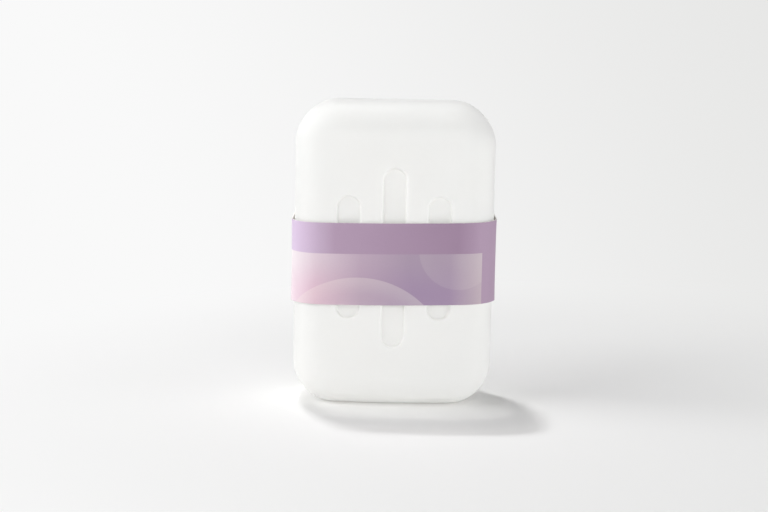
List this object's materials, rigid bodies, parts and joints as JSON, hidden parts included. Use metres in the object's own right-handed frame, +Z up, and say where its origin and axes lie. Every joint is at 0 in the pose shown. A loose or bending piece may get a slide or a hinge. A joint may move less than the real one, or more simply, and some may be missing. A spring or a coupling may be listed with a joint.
{
  "type": "travel soap box",
  "caption": "Rounded two-part travel soap box in frosted plastic with sunk drain bars, a push-on lid and a printed card band, standing on one short end.",
  "frame": {"origin": "centre of the short end that the closed box stands on, in the plane where the lid meets the base", "axes": "+Z up along the box's length, +X across its width to the right as the lid is faced, +Y through its depth from the lid's face to the base's"},
  "size_m": [0.0732, 0.0417, 0.11],
  "materials": {
    "frosted_polypropylene": "satin moulded, translucent milky white",
    "printed_card": "uncoated card printed mauve and pink on the outside, white inside",
    "clear_glue": "thin dried film"
  },
  "bodies": {
    "base": {"base_tray": "frosted_polypropylene"},
    "lid": {"lid": "frosted_polypropylene"},
    "band": {"paper_sleeve": "printed_card", "sleeve_glue": "clear_glue"}
  },
  "joints": [
    {"name": "lid_pull", "type": "slide", "parent": "base", "child": "lid", "axis": [0, -1, 0], "range_m": [0, 0.06], "deforming": ["paper_sleeve"]},
    {"name": "sleeve_slide", "type": "slide", "parent": "base", "child": "band", "axis": [0, 0, 1], "range_m": [-0.036, 0.085]}
  ]
}
